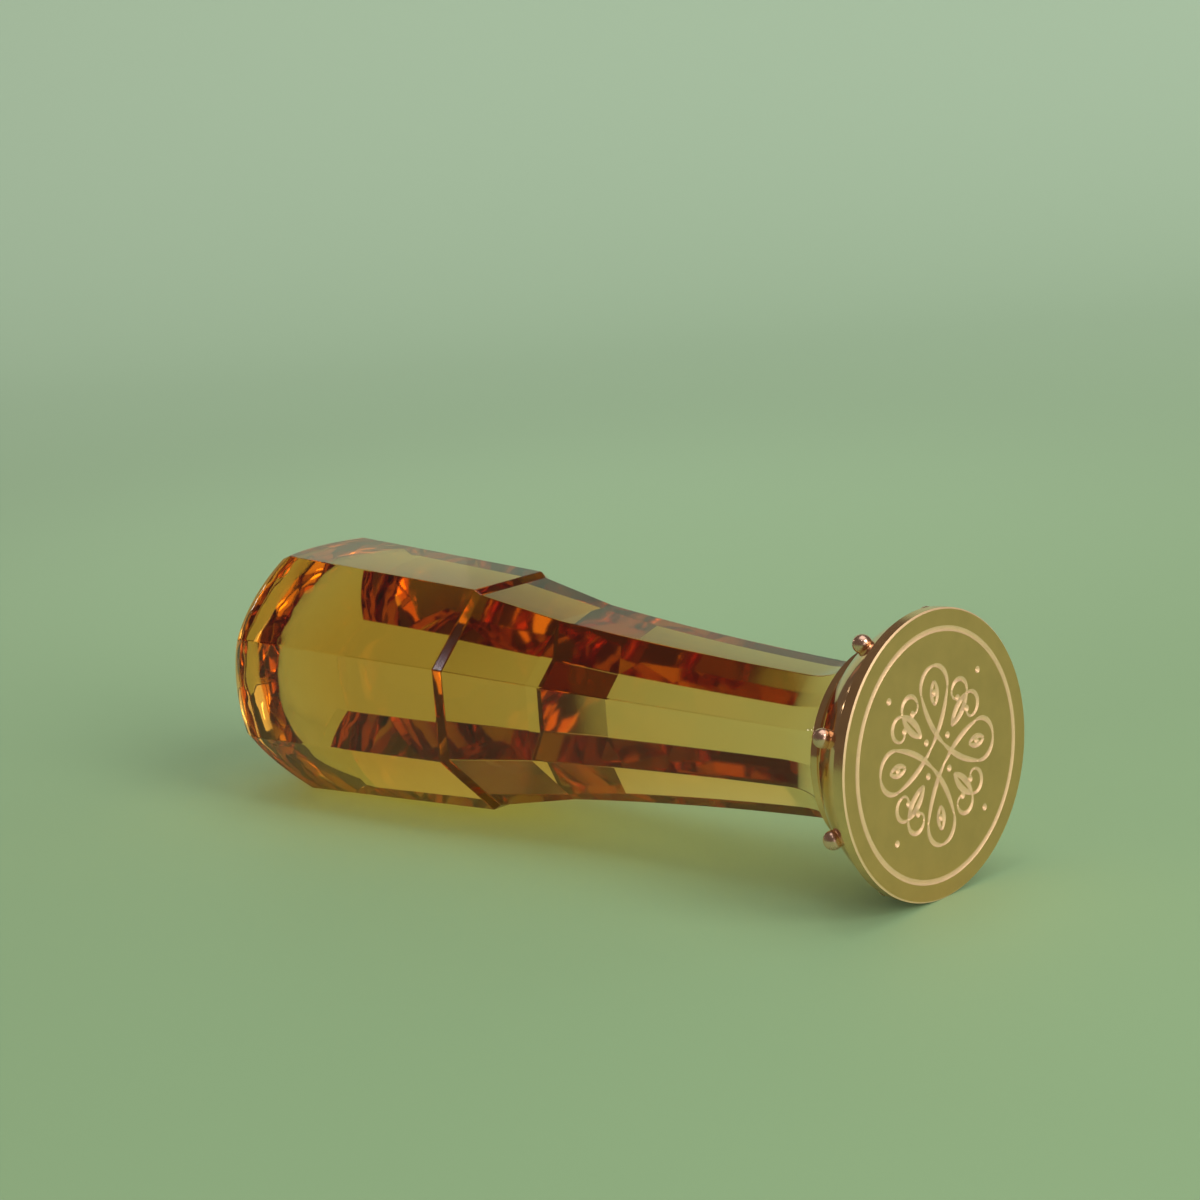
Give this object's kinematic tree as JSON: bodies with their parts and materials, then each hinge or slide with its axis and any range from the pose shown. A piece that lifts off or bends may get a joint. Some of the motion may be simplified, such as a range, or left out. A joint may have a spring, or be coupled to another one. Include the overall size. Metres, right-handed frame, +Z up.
{
  "type": "wax seal stamp",
  "caption": "Hand seal for sealing wax: a faceted amber glass handle with a flared neck, set in a beaded brass head that unscrews and carries a round engraved die.",
  "frame": {"origin": "middle of the seal's length on the surface it lies on, under its axis", "axes": "+X along the seal towards the die face, +Z up from the surface it lies on, +Y to the left when looking along +X"},
  "size_m": [0.0932, 0.028, 0.028],
  "materials": {
    "amber_glass": "polished",
    "cement": "matt",
    "ferrule_brass": "polished",
    "washer": "matt",
    "dome_brass": "polished",
    "die_brass": "satin",
    "bead_brass": "polished"
  },
  "bodies": {
    "handle": {"crystal_handle": "amber_glass", "tenon_cement": "cement", "ferrule": "ferrule_brass"},
    "washer": {"friction_washer": "washer"},
    "head": {"head_dome": "dome_brass", "die_plate": "die_brass", "bead_pin_1": "bead_brass", "bead_pin_2": "bead_brass", "bead_pin_3": "bead_brass", "bead_pin_4": "bead_brass", "bead_pin_5": "bead_brass", "bead_pin_6": "bead_brass", "bead_pin_7": "bead_brass", "bead_pin_8": "bead_brass"}
  },
  "joints": [
    {"name": "head_travel", "type": "slide", "parent": "handle", "child": "washer", "axis": [1, 0, 0.0048], "range_m": [0, 0.003]},
    {"name": "head_turn", "type": "hinge", "parent": "washer", "child": "head", "pos_m": [0.04654, 0, 0.01401], "axis": [1, 0, 0.0048], "range_deg": [0, 1080]}
  ],
  "couplings": [
    {"joint": "head_travel", "follows": "head_turn", "m_per_rad": 0.00015915}
  ]
}
